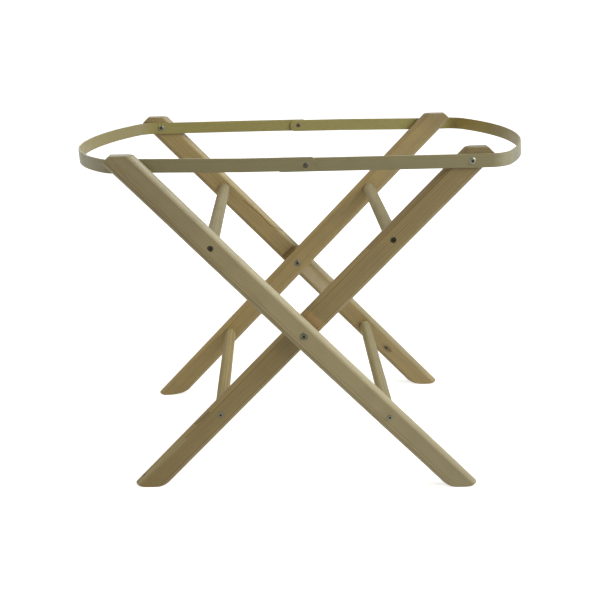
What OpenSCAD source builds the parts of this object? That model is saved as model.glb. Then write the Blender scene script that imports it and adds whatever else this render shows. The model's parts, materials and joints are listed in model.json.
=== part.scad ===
// Folding stand for a bassinet: two pairs of crossed legs under a bent-wood hoop in two halves.
// X runs along the hoop, Y from front to back, Z up; the origin is on the floor under the crossing.
// The outer pair of legs leans to the left at its top, the inner pair to the right.

/* [Legs] */
// Width of a leg across its broad face
leg_width = 49.5; // [44:0.5:56]
// Thickness of a leg
leg_thickness = 20; // [17:0.5:26]
// Radius that rounds the long edges of the legs
edge_round = 9; // [1:0.5:9.5]
// Lean of each leg from the vertical, in degrees
leg_lean = 43.3; // [40:0.1:46]
// Height of the crossing bolt above the floor
cross_height = 338.5; // [310:0.5:370]
// Width over the outer faces of the outer legs
outside_width = 474.5; // [420:0.5:540]
// Distance along a leg from the crossing to the hoop's pivot
hoop_reach = 434.2; // [400:0.1:470]
// Distance along a leg from the hoop's pivot to its squared top end
end_past_pivot = 35.8; // [34:0.1:38]
// Height of the level leg tops above the hoop's upper edge
top_rise = 11.4; // [9:0.1:15]

/* [Feet] */
// Length of the flat sole
sole_flat = 12; // [8:1:20]
// Distance of the sole's middle inward from the leg's centre line
sole_inset = 6; // [3:0.5:9]
// Radius under the heel, on the inner side of the foot
heel_radius = 56; // [45:1:65]
// Radius under the toe, on the outer side of the foot
toe_radius = 70; // [50:1:90]
// Length cut off the sharp tip of the toe
toe_blunt = 5; // [2:0.5:8]

/* [Dowels] */
// Diameter of the cross dowels
dowel_diameter = 25.5; // [18:0.5:28]
// Distance along a leg from the crossing to each dowel
dowel_reach = 240; // [200:1:270]
// Depth of the blind socket in which a dowel ends
socket_depth = 9; // [5:0.5:12]

/* [Hoop] */
// Length over both ends of the hoop
hoop_length = 854; // [830:1:900]
// Height of the bent bands
band_height = 24.2; // [20:0.2:27]
// Thickness of the bent bands
band_thickness = 2.8; // [2.2:0.1:3.4]
// Corner radius of the left half, over its outer surface
left_corner_radius = 60; // [45:1:80]
// Corner radius of the right half, over its outer surface
right_corner_radius = 40; // [30:1:50]
// Distance of the middle rivets to the right of the crossing
rivet_offset = 7.4; // [0:0.1:12]
// Length of each band past the middle rivet
lap_length = 18; // [14:0.5:26]
// Length of the right half's front end past its rivet, hidden behind the left half
long_lap = 52; // [18:1:70]
// Radius that rounds the lapped ends
lap_radius = 14; // [12:0.5:20]

/* [Fasteners] */
// Diameter of the crossing bolt's shank
bolt_diameter = 6; // [5:0.5:7]
// Diameter of the crossing bolt's head
bolt_head_diameter = 14; // [11:0.5:18]
// Outer diameter of the sleeve nut, which is the inner leg's axle
sleeve_diameter = 9; // [8.5:0.5:11]
// Length of the sleeve inside the inner leg
sleeve_length = 16; // [12:0.5:17]
// Diameter of the sleeve nut's head
nut_head_diameter = 15; // [12:0.5:19]
// Outer diameter of the spacer between the crossed legs
spacer_diameter = 16; // [12:0.5:24]
// Diameter of the hoop's pivot screws
hoop_screw_diameter = 5; // [4:0.5:6]
// Diameter of the hoop screws' domed heads
hoop_screw_head = 12.4; // [10:0.2:15]
// Depth of the hoop screws in the leg
hoop_screw_depth = 15; // [10:0.5:16]
// Diameter of the screws that hold the dowels
dowel_screw_diameter = 4; // [3.5:0.1:5]
// Diameter of the dowel screws' heads
dowel_screw_head = 11; // [9:0.2:13]
// Depth of the dowel screws in the end of the dowel
dowel_screw_depth = 32; // [20:1:45]
// Depth of the counterbore that hides an upper dowel screw's head
counterbore_depth = 3; // [2:0.2:5]
// Height of the low domed heads
head_height = 2.2; // [1.6:0.1:2.6]
// Width across the drive sockets in the heads
drive_width = 4; // [3:0.1:4.4]
// Depth of the drive sockets
drive_depth = 1.4; // [1:0.1:1.5]
// Diameter of the rivets' shanks
rivet_diameter = 5; // [4:0.5:6]
// Diameter of the rivets' heads
rivet_head_diameter = 10; // [8:0.5:12]
// Height of the rivets' heads
rivet_head_height = 1.8; // [1.2:0.1:2.4]

/* [Fits] */
// Gap between wooden faces that turn past each other
face_gap = 0.2; // [0.1:0.05:0.4]
// Radial gap round a pin that turns in its hole
pin_gap = 0.08; // [0.04:0.01:0.1]
// Radial gap round a fixed dowel or screw
seat_gap = 0.1; // [0.05:0.05:0.2]

/* [Hidden] */
$fn = 96;

OUTER = -1;   // the outer legs' tops lie to the left, at minus X
INNER = 1;    // the inner legs' tops lie to the right, at plus X
FRONT = -1;
BACK = 1;
UP = 1;
DOWN = -1;
margin = 1;   // overlap that lets a cutter clear the surface it leaves

lean_sin = sin(leg_lean);
lean_cos = cos(leg_lean);
half_leg = leg_width / 2;

// Layers from the outside in, each a distance from the middle plane Y = 0.
outer_face = outside_width / 2;
outer_inside = outer_face - leg_thickness;
left_band_face = outer_inside - face_gap;
left_band_inside = left_band_face - band_thickness;
right_band_face = left_band_inside - face_gap;
right_band_inside = right_band_face - band_thickness;
inner_face = right_band_inside - face_gap;
inner_inside = inner_face - leg_thickness;

hoop_height = cross_height + hoop_reach * lean_cos;
pivot_x = hoop_reach * lean_sin;
leg_reach = hoop_reach + end_past_pivot;
top_height = hoop_height + band_height / 2 + top_rise;
hoop_half_length = hoop_length / 2;
head_margin = 1;   // flat band kept beyond the screw head before the left half bends
left_bend_x = pivot_x + hoop_screw_head / 2 + head_margin;
leg_corner_x = leg_reach * lean_sin + half_leg * lean_cos;
corner_lead = 3;   // the right half starts to bend this far before the inner leg's corner
right_bend_x = leg_corner_x - corner_lead;

drive_fn = 6;
tip_length = 6;         // conical point of a wood screw
rivet_split_gap = 0.1;  // each rivet half stops this far short of the faces where the bands meet
sleeve_floor = 3;       // solid end of the sleeve nut, next to its head

// The point [x, z] on a leg's centre line at a distance along it from the crossing.
function leg_point(side, along) = [side * along * lean_sin, cross_height + along * lean_cos];

// The points of an arc that leaves the floor at x and rises towards direction way.
arc_steps = 8;
function rising_arc(x, radius, way, last_angle) =
    [for (i = [0:arc_steps]) let (a = last_angle * i / arc_steps)
        [x + way * radius * sin(a), radius * (1 - cos(a))]];
function reversed(points) = [for (i = [len(points) - 1:-1:0]) points[i]];

// The half plane over a foot's sole, for a leg whose foot is on the left.
heel_angle = 38;
toe_angle = 30;
far_out = 2 * leg_reach;
far_up = [0, 2 * far_out];
sole_x = sole_inset - cross_height * tan(leg_lean);
toe_arc = rising_arc(sole_x - sole_flat / 2, toe_radius, -1, toe_angle);
heel_arc = rising_arc(sole_x + sole_flat / 2, heel_radius, 1, heel_angle);
toe_end = toe_arc[arc_steps];
heel_end = heel_arc[arc_steps];
function over_sole() = concat(
    [toe_end + far_out * [-cos(toe_angle), sin(toe_angle)]],
    reversed(toe_arc),
    heel_arc,
    [heel_end + far_out * [cos(heel_angle), sin(heel_angle)]],
    [[far_out, 0] + far_up, [-far_out, 0] + far_up]
);

// Where the arc under the toe meets the leg's upper edge, and the way back along that edge.
toe_start = sole_x - sole_flat / 2;
toe_meets = leg_lean + asin(
    (half_leg + toe_start * lean_cos - (toe_radius - cross_height) * lean_sin) / toe_radius);
toe_tip = [toe_start - toe_radius * sin(toe_meets), toe_radius * (1 - cos(toe_meets))];
toe_cut_angle = (90 - leg_lean - toe_meets) / 2;

module toe_cut() {
    translate(toe_tip)
        rotate(toe_cut_angle)
            translate([toe_blunt - far_out, -far_out / 2])
                square(far_out);
}

// What is cut off a leg's ends, seen from the front, for a leg whose top leans to the right.
module leg_ends() {
    difference() {
        intersection() {
            polygon(over_sole());
            translate([-far_out, -margin])
                square([2 * far_out, top_height + margin]);
        }
        toe_cut();
    }
}

// The strip's section, with rounded edges.
module leg_section() {
    flat_half = [half_leg - edge_round, leg_thickness / 2 - edge_round];
    square([leg_width, 2 * flat_half.y], center = true);
    square([2 * flat_half.x, leg_thickness], center = true);
    for (across = [-1, 1], through = [-1, 1])
        translate([across * flat_half.x, through * flat_half.y])
            circle(edge_round);
}

// Turns a shape drawn along Z so that it runs outward along Y on the back half, at [x, z].
module outward(at, y) {
    translate([at.x, y, at.y])
        rotate([-90, 0, 0])
            children();
}

// Makes the back half's shape, or its mirror image at the front.
module on_side(depth_side) {
    mirror([0, depth_side == FRONT ? 1 : 0, 0])
        children();
}

module low_dome(diameter, height) {
    radius = (diameter * diameter / 4 + height * height) / (2 * height);
    rotate_extrude()
        intersection() {
            translate([0, height - radius])
                circle(radius);
            square([diameter / 2, height]);
        }
}

// A head on top of Z = 0 with a drive socket.
module screw_head(diameter, height, sides) {
    difference() {
        low_dome(diameter, height);
        translate([0, 0, height - drive_depth])
            cylinder(d = drive_width, h = drive_depth + margin, $fn = sides);
    }
}

// A shank that runs down from Z = 0 and ends in a point.
module screw_shank(diameter, length) {
    translate([0, 0, tip_length - length])
        cylinder(d = diameter, h = length - tip_length);
    translate([0, 0, -length])
        cylinder(d1 = 1, d2 = diameter, h = tip_length);
}

module wood_screw(diameter, length, head_diameter, height) {
    screw_head(head_diameter, height, drive_fn);
    screw_shank(diameter, length);
}

// A hole that is open at Z = 0 and runs down to a depth.
module hole(diameter, depth, gap) {
    translate([0, 0, -depth])
        cylinder(d = diameter + 2 * gap, h = depth + margin);
}

// Legs

module leg_blank(side, outside) {
    mirror([side == OUTER ? 1 : 0, 0, 0])
        translate([0, outside - leg_thickness / 2, 0])
            intersection() {
                translate([0, 0, cross_height])
                    rotate([0, leg_lean, 0])
                        translate([0, 0, -far_out])
                            linear_extrude(far_out + leg_reach)
                                leg_section();
                translate([0, leg_thickness / 2 + margin, 0])
                    rotate([90, 0, 0])
                        linear_extrude(leg_thickness + 2 * margin)
                            leg_ends();
            }
}

// The socket for a dowel and the hole for its screw, with a counterbore at the upper dowels.
module dowel_seat(side, level, outside) {
    at = leg_point(side, level * dowel_reach);
    inside = outside - leg_thickness;
    outward(at, inside - margin)
        cylinder(d = dowel_diameter + 2 * seat_gap, h = socket_depth + margin);
    outward(at, outside)
        hole(dowel_screw_diameter, leg_thickness, seat_gap);
    if (level == UP)
        outward(at, outside)
            hole(dowel_screw_head, counterbore_depth, seat_gap);
}

module outer_leg() {
    difference() {
        leg_blank(OUTER, outer_face);
        dowel_seat(OUTER, UP, outer_face);
        dowel_seat(OUTER, DOWN, outer_face);
        outward(leg_point(OUTER, 0), outer_face)
            hole(bolt_diameter, leg_thickness + margin, seat_gap);
        outward(leg_point(OUTER, hoop_reach), outer_inside - margin)
            cylinder(d = hoop_screw_diameter + 2 * seat_gap, h = hoop_screw_depth + margin + seat_gap);
    }
}

module inner_leg() {
    difference() {
        leg_blank(INNER, inner_face);
        dowel_seat(INNER, UP, inner_face);
        dowel_seat(INNER, DOWN, inner_face);
        outward(leg_point(INNER, 0), inner_face)
            hole(sleeve_diameter, leg_thickness + margin, pin_gap);
        outward(leg_point(INNER, hoop_reach), inner_face)
            hole(hoop_screw_diameter, hoop_screw_depth + seat_gap, seat_gap);
    }
}

module outer_leg_front() { color("burlywood") on_side(FRONT) outer_leg(); }
module outer_leg_back() { color("burlywood") on_side(BACK) outer_leg(); }
module inner_leg_front() { color("tan") on_side(FRONT) inner_leg(); }
module inner_leg_back() { color("tan") on_side(BACK) inner_leg(); }

// Dowels, each with a pilot hole in both ends

module dowel(side, level, inside) {
    at = leg_point(side, level * dowel_reach);
    end = inside + socket_depth - face_gap;
    color("wheat")
        difference() {
            outward(at, -end)
                cylinder(d = dowel_diameter, h = 2 * end);
            for (depth_side = [FRONT, BACK])
                on_side(depth_side)
                    outward(at, end)
                        hole(dowel_screw_diameter, dowel_screw_depth, seat_gap);
        }
}

module outer_upper_dowel() { dowel(OUTER, UP, outer_inside); }
module outer_lower_dowel() { dowel(OUTER, DOWN, outer_inside); }
module inner_upper_dowel() { dowel(INNER, UP, inner_inside); }
module inner_lower_dowel() { dowel(INNER, DOWN, inner_inside); }

// Screws that hold the dowels; the upper ones sit below the surface

module dowel_screw(side, level, outside, depth_side) {
    sunk = level == UP ? counterbore_depth : 0;
    to_dowel = leg_thickness - socket_depth + face_gap;
    color(level == UP ? "dimgray" : "silver")
        on_side(depth_side)
            outward(leg_point(side, level * dowel_reach), outside - sunk)
                wood_screw(dowel_screw_diameter, to_dowel - sunk + dowel_screw_depth - seat_gap,
                           dowel_screw_head, head_height);
}

module outer_upper_screw_front() { dowel_screw(OUTER, UP, outer_face, FRONT); }
module outer_upper_screw_back() { dowel_screw(OUTER, UP, outer_face, BACK); }
module outer_lower_screw_front() { dowel_screw(OUTER, DOWN, outer_face, FRONT); }
module outer_lower_screw_back() { dowel_screw(OUTER, DOWN, outer_face, BACK); }
module inner_upper_screw_front() { dowel_screw(INNER, UP, inner_face, FRONT); }
module inner_upper_screw_back() { dowel_screw(INNER, UP, inner_face, BACK); }
module inner_lower_screw_front() { dowel_screw(INNER, DOWN, inner_face, FRONT); }
module inner_lower_screw_back() { dowel_screw(INNER, DOWN, inner_face, BACK); }

// Crossing: a bolt from the outside, a sleeve nut from the inside and a spacer between the legs

nut_seat = inner_inside - face_gap;
sleeve_end = nut_seat + sleeve_length;
bolt_end = nut_seat + sleeve_floor + seat_gap;

module pivot_bolt(depth_side) {
    color("silver")
        on_side(depth_side)
            outward(leg_point(OUTER, 0), outer_face) {
                screw_head(bolt_head_diameter, head_height, drive_fn);
                translate([0, 0, bolt_end - outer_face])
                    cylinder(d = bolt_diameter, h = outer_face - bolt_end);
            }
}

module pivot_nut(depth_side) {
    color("gray")
        on_side(depth_side)
            difference() {
                outward(leg_point(INNER, 0), nut_seat) {
                    mirror([0, 0, 1])
                        screw_head(nut_head_diameter, head_height, drive_fn);
                    cylinder(d = sleeve_diameter, h = sleeve_length);
                }
                outward(leg_point(INNER, 0), sleeve_end)
                    hole(bolt_diameter, sleeve_length - sleeve_floor, seat_gap);
            }
}

module pivot_spacer(depth_side) {
    color("ivory")
        on_side(depth_side)
            difference() {
                outward(leg_point(OUTER, 0), inner_face + face_gap)
                    cylinder(d = spacer_diameter, h = outer_inside - inner_face - 2 * face_gap);
                outward(leg_point(OUTER, 0), outer_inside)
                    hole(bolt_diameter, outer_inside - inner_face, seat_gap);
            }
}

module pivot_bolt_front() { pivot_bolt(FRONT); }
module pivot_bolt_back() { pivot_bolt(BACK); }
module pivot_nut_front() { pivot_nut(FRONT); }
module pivot_nut_back() { pivot_nut(BACK); }
module pivot_spacer_front() { pivot_spacer(FRONT); }
module pivot_spacer_back() { pivot_spacer(BACK); }

// Hoop: each half is a band bent to a three-centred arch, drawn here with its bend at plus X

// The solid plan of an arch: straight sides, a small arc at each corner and a wide arc over the end.
module arch(bend_x, end_x, corner_radius, half_width) {
    rise = end_x - bend_x;
    corner_y = half_width - corner_radius;
    end_radius = (rise * rise + corner_y * corner_y - corner_radius * corner_radius)
        / (2 * (rise - corner_radius));
    end_centre = end_x - end_radius;
    end_angle = atan2(corner_y, bend_x - end_centre);
    translate([-end_x, -half_width])
        square([end_x + bend_x, 2 * half_width]);
    for (way = [-1, 1])
        translate([bend_x, way * corner_y])
            circle(corner_radius);
    intersection() {
        translate([end_centre, 0])
            circle(end_radius);
        translate([end_centre, 0])
            polygon([[0, 0], 2 * end_radius * [1, tan(end_angle)], 2 * end_radius * [1, -tan(end_angle)]]);
    }
}

// What is kept of a band, seen from the front: it ends rounded at start_x.
module band_side(start_x, end_x) {
    intersection() {
        translate([start_x, -band_height / 2])
            square([end_x - start_x + margin, band_height]);
        union() {
            translate([start_x + lap_radius, 0])
                circle(lap_radius);
            translate([start_x + lap_radius, -band_height / 2])
                square([end_x - start_x, band_height]);
        }
    }
}

module half_hoop(bend_x, corner_radius, outside, rivet_x, front_lap) {
    end_x = hoop_half_length;
    difference() {
        intersection() {
            translate([0, 0, -band_height / 2])
                linear_extrude(band_height)
                    difference() {
                        arch(bend_x, end_x, corner_radius, outside);
                        arch(bend_x, end_x - band_thickness, corner_radius - band_thickness,
                             outside - band_thickness);
                    }
            for (depth_side = [FRONT, BACK])
                on_side(depth_side)
                    translate([0, outside + margin, 0])
                        rotate([90, 0, 0])
                            linear_extrude(outside + 2 * margin)
                                band_side(rivet_x - (depth_side == FRONT ? front_lap : lap_length), end_x);
        }
        for (depth_side = [FRONT, BACK])
            on_side(depth_side) {
                outward([rivet_x, 0], outside)
                    hole(rivet_diameter, band_thickness + margin, seat_gap);
                outward([pivot_x, 0], outside)
                    hole(hoop_screw_diameter, band_thickness + margin, pin_gap);
            }
    }
}

module hoop_left() {
    color("palegoldenrod")
        translate([0, 0, hoop_height])
            mirror([1, 0, 0])
                half_hoop(left_bend_x, left_corner_radius, left_band_face, -rivet_offset, lap_length);
}

module hoop_right() {
    color("khaki")
        translate([0, 0, hoop_height])
            half_hoop(right_bend_x, right_corner_radius, right_band_face, rivet_offset, long_lap);
}

// Hoop screws: at the left from the inside of the band into the outer legs,
// at the right from the outside of the band into the inner legs

module left_hoop_screw(depth_side) {
    color("silver")
        on_side(depth_side)
            outward(leg_point(OUTER, hoop_reach), left_band_inside - face_gap)
                mirror([0, 0, 1])
                    wood_screw(hoop_screw_diameter, band_thickness + 2 * face_gap + hoop_screw_depth,
                               hoop_screw_head, head_height);
}

module right_hoop_screw(depth_side) {
    color("silver")
        on_side(depth_side)
            outward(leg_point(INNER, hoop_reach), right_band_face + face_gap)
                wood_screw(hoop_screw_diameter, band_thickness + 2 * face_gap + hoop_screw_depth,
                           hoop_screw_head, head_height);
}

module left_hoop_screw_front() { left_hoop_screw(FRONT); }
module left_hoop_screw_back() { left_hoop_screw(BACK); }
module right_hoop_screw_front() { right_hoop_screw(FRONT); }
module right_hoop_screw_back() { right_hoop_screw(BACK); }

// Middle rivets, each in two halves that meet where the bands lie on each other

module rivet_half() {
    low_dome(rivet_head_diameter, rivet_head_height);
    translate([0, 0, rivet_split_gap - band_thickness])
        cylinder(d = rivet_diameter, h = band_thickness - rivet_split_gap);
}

module rivet_outer(depth_side) {
    color("dimgray")
        on_side(depth_side)
            outward([rivet_offset, hoop_height], left_band_face)
                rivet_half();
}

module rivet_inner(depth_side) {
    color("dimgray")
        on_side(depth_side)
            outward([rivet_offset, hoop_height], right_band_inside)
                mirror([0, 0, 1])
                    rivet_half();
}

module rivet_outer_front() { rivet_outer(FRONT); }
module rivet_outer_back() { rivet_outer(BACK); }
module rivet_inner_front() { rivet_inner(FRONT); }
module rivet_inner_back() { rivet_inner(BACK); }

outer_leg_front();
outer_leg_back();
inner_leg_front();
inner_leg_back();
outer_upper_dowel();
outer_lower_dowel();
inner_upper_dowel();
inner_lower_dowel();
outer_upper_screw_front();
outer_upper_screw_back();
outer_lower_screw_front();
outer_lower_screw_back();
inner_upper_screw_front();
inner_upper_screw_back();
inner_lower_screw_front();
inner_lower_screw_back();
pivot_bolt_front();
pivot_bolt_back();
pivot_nut_front();
pivot_nut_back();
pivot_spacer_front();
pivot_spacer_back();
hoop_left();
hoop_right();
left_hoop_screw_front();
left_hoop_screw_back();
right_hoop_screw_front();
right_hoop_screw_back();
rivet_outer_front();
rivet_outer_back();
rivet_inner_front();
rivet_inner_back();
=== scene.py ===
import json
import math
import bmesh
import bpy
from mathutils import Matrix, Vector


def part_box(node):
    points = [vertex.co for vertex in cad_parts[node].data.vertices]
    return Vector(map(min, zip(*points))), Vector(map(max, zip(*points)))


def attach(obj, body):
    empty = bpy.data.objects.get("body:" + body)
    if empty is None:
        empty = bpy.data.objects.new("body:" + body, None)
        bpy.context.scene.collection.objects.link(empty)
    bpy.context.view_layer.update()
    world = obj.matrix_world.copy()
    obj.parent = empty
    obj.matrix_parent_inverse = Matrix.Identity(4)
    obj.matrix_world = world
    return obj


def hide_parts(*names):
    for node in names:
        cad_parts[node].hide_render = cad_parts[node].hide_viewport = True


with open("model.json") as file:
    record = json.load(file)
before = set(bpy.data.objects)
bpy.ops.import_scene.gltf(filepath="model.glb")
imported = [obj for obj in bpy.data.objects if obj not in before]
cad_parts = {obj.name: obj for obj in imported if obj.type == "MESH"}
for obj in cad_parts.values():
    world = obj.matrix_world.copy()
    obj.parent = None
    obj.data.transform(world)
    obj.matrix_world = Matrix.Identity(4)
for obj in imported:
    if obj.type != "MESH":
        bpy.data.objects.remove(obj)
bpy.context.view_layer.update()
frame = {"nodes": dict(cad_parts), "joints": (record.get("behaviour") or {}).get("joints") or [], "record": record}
print("frame loaded:", len(frame["nodes"]), "nodes")

mm = 0.001
perMetre = 1000  # the grain and the wear are laid out in millimetres
joints = {joint["name"]: joint for joint in frame["joints"]}
crossing = Vector(joints["stand_fold"]["pos_m"])
leftPivot = Vector(joints["left_hoop_turn"]["pos_m"])
rightPivot = Vector(joints["right_hoop_turn"]["pos_m"])
legLean = math.atan2(rightPivot.x, rightPivot.z - crossing.z)
leanSin = math.sin(legLean)
leanCos = math.cos(legLean)
bodies = frame["record"]["behaviour"]["bodies"]
bodyOfNode = {node: body for body, nodes in bodies.items() for node in nodes}
slotOfNode = {part["node"]: part["material_slot"] for part in frame["record"]["subparts"]}


def srgb(red, green, blue):  # a colour as a painter's program shows it, 0 to 255
    def linear(value):
        share = value / 255
        return share / 12.92 if share <= 0.04045 else ((share + 0.055) / 1.055) ** 2.4
    return (linear(red), linear(green), linear(blue), 1.0)


def camel(node):  # outer_leg_front becomes outerLegFront
    first, *rest = node.split("_")
    return first + "".join(word.capitalize() for word in rest)


def boxCentre(node):
    low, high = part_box(node)
    return (low + high) / 2


# Camera

cameraValues = {
    "place": (-43.18 * mm, -1631.04 * mm, 951.03 * mm),
    "lookDown": 21.83,  # degrees below level
    "turn": 0.13,       # degrees towards +X
    "roll": -1.29,
    "sensor": 36.0,
    "lens": 49.19,
    "shift": (0.0305, 0.0168),
}


def makeCamera(values):
    down = math.radians(values["lookDown"])
    turn = math.radians(values["turn"])
    roll = math.radians(values["roll"])
    ahead = Vector((math.sin(turn), math.cos(turn), 0))
    forward = ahead * math.cos(down) - Vector((0, 0, math.sin(down)))
    level = Vector((math.cos(turn), -math.sin(turn), 0))
    upright = level.cross(forward)
    right = level * math.cos(roll) + upright * math.sin(roll)
    up = upright * math.cos(roll) - level * math.sin(roll)
    data = bpy.data.cameras.new("camera")
    data.sensor_width = values["sensor"]
    data.lens = values["lens"]
    data.shift_x, data.shift_y = values["shift"]
    data.clip_start = 0.05
    data.clip_end = 60
    camera = bpy.data.objects.new("camera", data)
    bpy.context.scene.collection.objects.link(camera)
    matrix = camera.matrix_world.copy()
    for row in range(3):
        matrix[row][0] = right[row]
        matrix[row][1] = up[row]
        matrix[row][2] = -forward[row]
        matrix[row][3] = values["place"][row]
    camera.matrix_world = matrix
    bpy.context.scene.camera = camera


makeCamera(cameraValues)
print("camera set")


# Nodes: small helpers for shader trees

def addNode(tree, kind, **settings):
    node = tree.nodes.new(kind)
    for name, value in settings.items():
        setattr(node, name, value)
    return node


def feed(tree, value, socket):
    if isinstance(value, bpy.types.NodeSocket):
        tree.links.new(value, socket)
    else:
        socket.default_value = value


def calc(tree, operation, *values, clamp=False):
    node = addNode(tree, "ShaderNodeMath", operation=operation, use_clamp=clamp)
    for value, socket in zip(values, node.inputs):
        feed(tree, value, socket)
    return node.outputs[0]


def swing(tree, value, amount):  # 0 to 1 becomes half the amount below zero to half above
    return calc(tree, "MULTIPLY", calc(tree, "SUBTRACT", value, 0.5), amount)


def vectorCalc(tree, operation, *values):
    node = addNode(tree, "ShaderNodeVectorMath", operation=operation)
    for value, socket in zip(values, node.inputs):
        feed(tree, value, socket)
    return node.outputs["Value" if operation in ("LENGTH", "DOT_PRODUCT") else "Vector"]


def stretch(tree, vector, factors, offset=(0, 0, 0)):
    return vectorCalc(tree, "MULTIPLY_ADD", vector, factors, offset)


def scaled(tree, vector, factor):
    node = addNode(tree, "ShaderNodeVectorMath", operation="SCALE")
    feed(tree, vector, node.inputs[0])
    feed(tree, factor, node.inputs["Scale"])
    return node.outputs[0]


def coordinate(tree, kind):
    return addNode(tree, "ShaderNodeTexCoord").outputs[kind]


def attribute(tree, name):
    return addNode(tree, "ShaderNodeAttribute", attribute_name=name).outputs["Fac"]


def axisOf(tree, vector, axis):
    node = addNode(tree, "ShaderNodeSeparateXYZ")
    feed(tree, vector, node.inputs[0])
    return node.outputs[axis]


def noise(tree, vector, scale=1.0, detail=2.0, roughness=0.5):
    node = addNode(tree, "ShaderNodeTexNoise")
    feed(tree, vector, node.inputs["Vector"])
    feed(tree, scale, node.inputs["Scale"])
    feed(tree, detail, node.inputs["Detail"])
    feed(tree, roughness, node.inputs["Roughness"])
    return node.outputs["Fac"]


def ramp(tree, value, low, high, start=0.0, end=1.0, smooth=True):
    node = addNode(tree, "ShaderNodeMapRange", interpolation_type="SMOOTHSTEP" if smooth else "LINEAR")
    names = ("Value", "From Min", "From Max", "To Min", "To Max")
    for name, item in zip(names, (value, low, high, start, end)):
        feed(tree, item, node.inputs[name])
    return node.outputs["Result"]


def blendColor(tree, factor, first, second, kind="MIX"):
    node = addNode(tree, "ShaderNodeMix", data_type="RGBA", blend_type=kind)
    feed(tree, factor, node.inputs["Factor"])
    feed(tree, first, node.inputs["A"])
    feed(tree, second, node.inputs["B"])
    return node.outputs["Result"]


def newGroup(name, inputs, outputs):
    tree = bpy.data.node_groups.new(name, "ShaderNodeTree")
    kinds = {"value": "NodeSocketFloat", "vector": "NodeSocketVector", "color": "NodeSocketColor"}
    for socketName, kind, default in inputs:
        socket = tree.interface.new_socket(name=socketName, in_out="INPUT", socket_type=kinds[kind])
        if default is not None:
            socket.default_value = default
    for socketName, kind in outputs:
        tree.interface.new_socket(name=socketName, in_out="OUTPUT", socket_type=kinds[kind])
    start = tree.nodes.new("NodeGroupInput")
    end = tree.nodes.new("NodeGroupOutput")
    return tree, start.outputs, end.inputs


def useGroup(tree, group, **values):
    node = addNode(tree, "ShaderNodeGroup", node_tree=group)
    for name, value in values.items():
        wanted = name.lower()
        socket = next(item for item in node.inputs if item.name.replace(" ", "").lower() == wanted)
        feed(tree, value, socket)
    return node.outputs


# Shared effects

def makeGrainGroup():
    # Vector is in millimetres along the piece: X across, Y through, Z with the grain.
    tree, given, result = newGroup("woodGrain", [
        ("Vector", "vector", None), ("Heart", "vector", (-45, 70, 0)), ("Ring Width", "value", 3.2),
        ("Wander", "value", 6.0), ("Push", "value", 0.0), ("Contrast", "value", 0.6),
        ("Early", "color", (0.4, 0.35, 0.2, 1)), ("Late", "color", (0.25, 0.18, 0.09, 1)),
        ("Fibre", "value", 0.16), ("Patch", "value", 0.12), ("Seed", "value", 0.0),
    ], [("Color", "color"), ("Height", "value")])
    shift = addNode(tree, "ShaderNodeCombineXYZ")  # each seed takes another part of the noise
    for socket, factor in zip(shift.inputs, (37.0, 11.3, 5.9)):
        feed(tree, calc(tree, "MULTIPLY", given["Seed"], factor), socket)

    def waves(across, along, **settings):  # of these sizes in millimetres
        sizes = (1 / across, 1 / across, 1 / along)
        return noise(tree, stretch(tree, given["Vector"], sizes, shift.outputs[0]), **settings)

    fibre = waves(0.9, 26, detail=4, roughness=0.6)
    patch = waves(34, 170, detail=1)
    slowPush = swing(tree, waves(60, 380), given["Wander"])
    quickPush = swing(tree, waves(13, 110), calc(tree, "MULTIPLY", given["Wander"], 0.35))
    fromHeart = stretch(tree, vectorCalc(tree, "SUBTRACT", given["Vector"], given["Heart"]), (1, 1, 0))
    distance = calc(tree, "ADD", vectorCalc(tree, "LENGTH", fromHeart), given["Push"])
    distance = calc(tree, "ADD", distance, calc(tree, "ADD", slowPush, quickPush))
    phase = calc(tree, "DIVIDE", distance, given["Ring Width"])
    ring = calc(tree, "FLOOR", phase)
    within = calc(tree, "FRACT", phase)
    dice = addNode(tree, "ShaderNodeTexWhiteNoise", noise_dimensions="1D")
    feed(tree, calc(tree, "ADD", ring, calc(tree, "MULTIPLY", given["Seed"], 17.0)), dice.inputs["W"])
    chance = dice.outputs["Value"]  # one for each ring
    strength = ramp(tree, chance, 0.0, 1.0, 0.25, 1.0, smooth=False)
    lateStart = ramp(tree, chance, 0.0, 1.0, 0.62, 0.30, smooth=False)  # as a share of the ring
    rise = ramp(tree, within, lateStart, 0.90)
    fall = ramp(tree, within, 0.93, 1.0, 1.0, 0.0)
    late = calc(tree, "MULTIPLY", calc(tree, "MULTIPLY", rise, fall), strength)
    dark = calc(tree, "MULTIPLY", late, given["Contrast"], clamp=True)
    wood = blendColor(tree, dark, given["Early"], given["Late"])
    uneven = calc(tree, "ADD", swing(tree, fibre, given["Fibre"]), swing(tree, patch, given["Patch"]))
    feed(tree, scaled(tree, wood, calc(tree, "ADD", 1.0, uneven)), result["Color"])
    raised = calc(tree, "MULTIPLY", fibre, 0.6)
    feed(tree, calc(tree, "SUBTRACT", raised, calc(tree, "MULTIPLY", late, 0.4)), result["Height"])
    return tree


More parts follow.
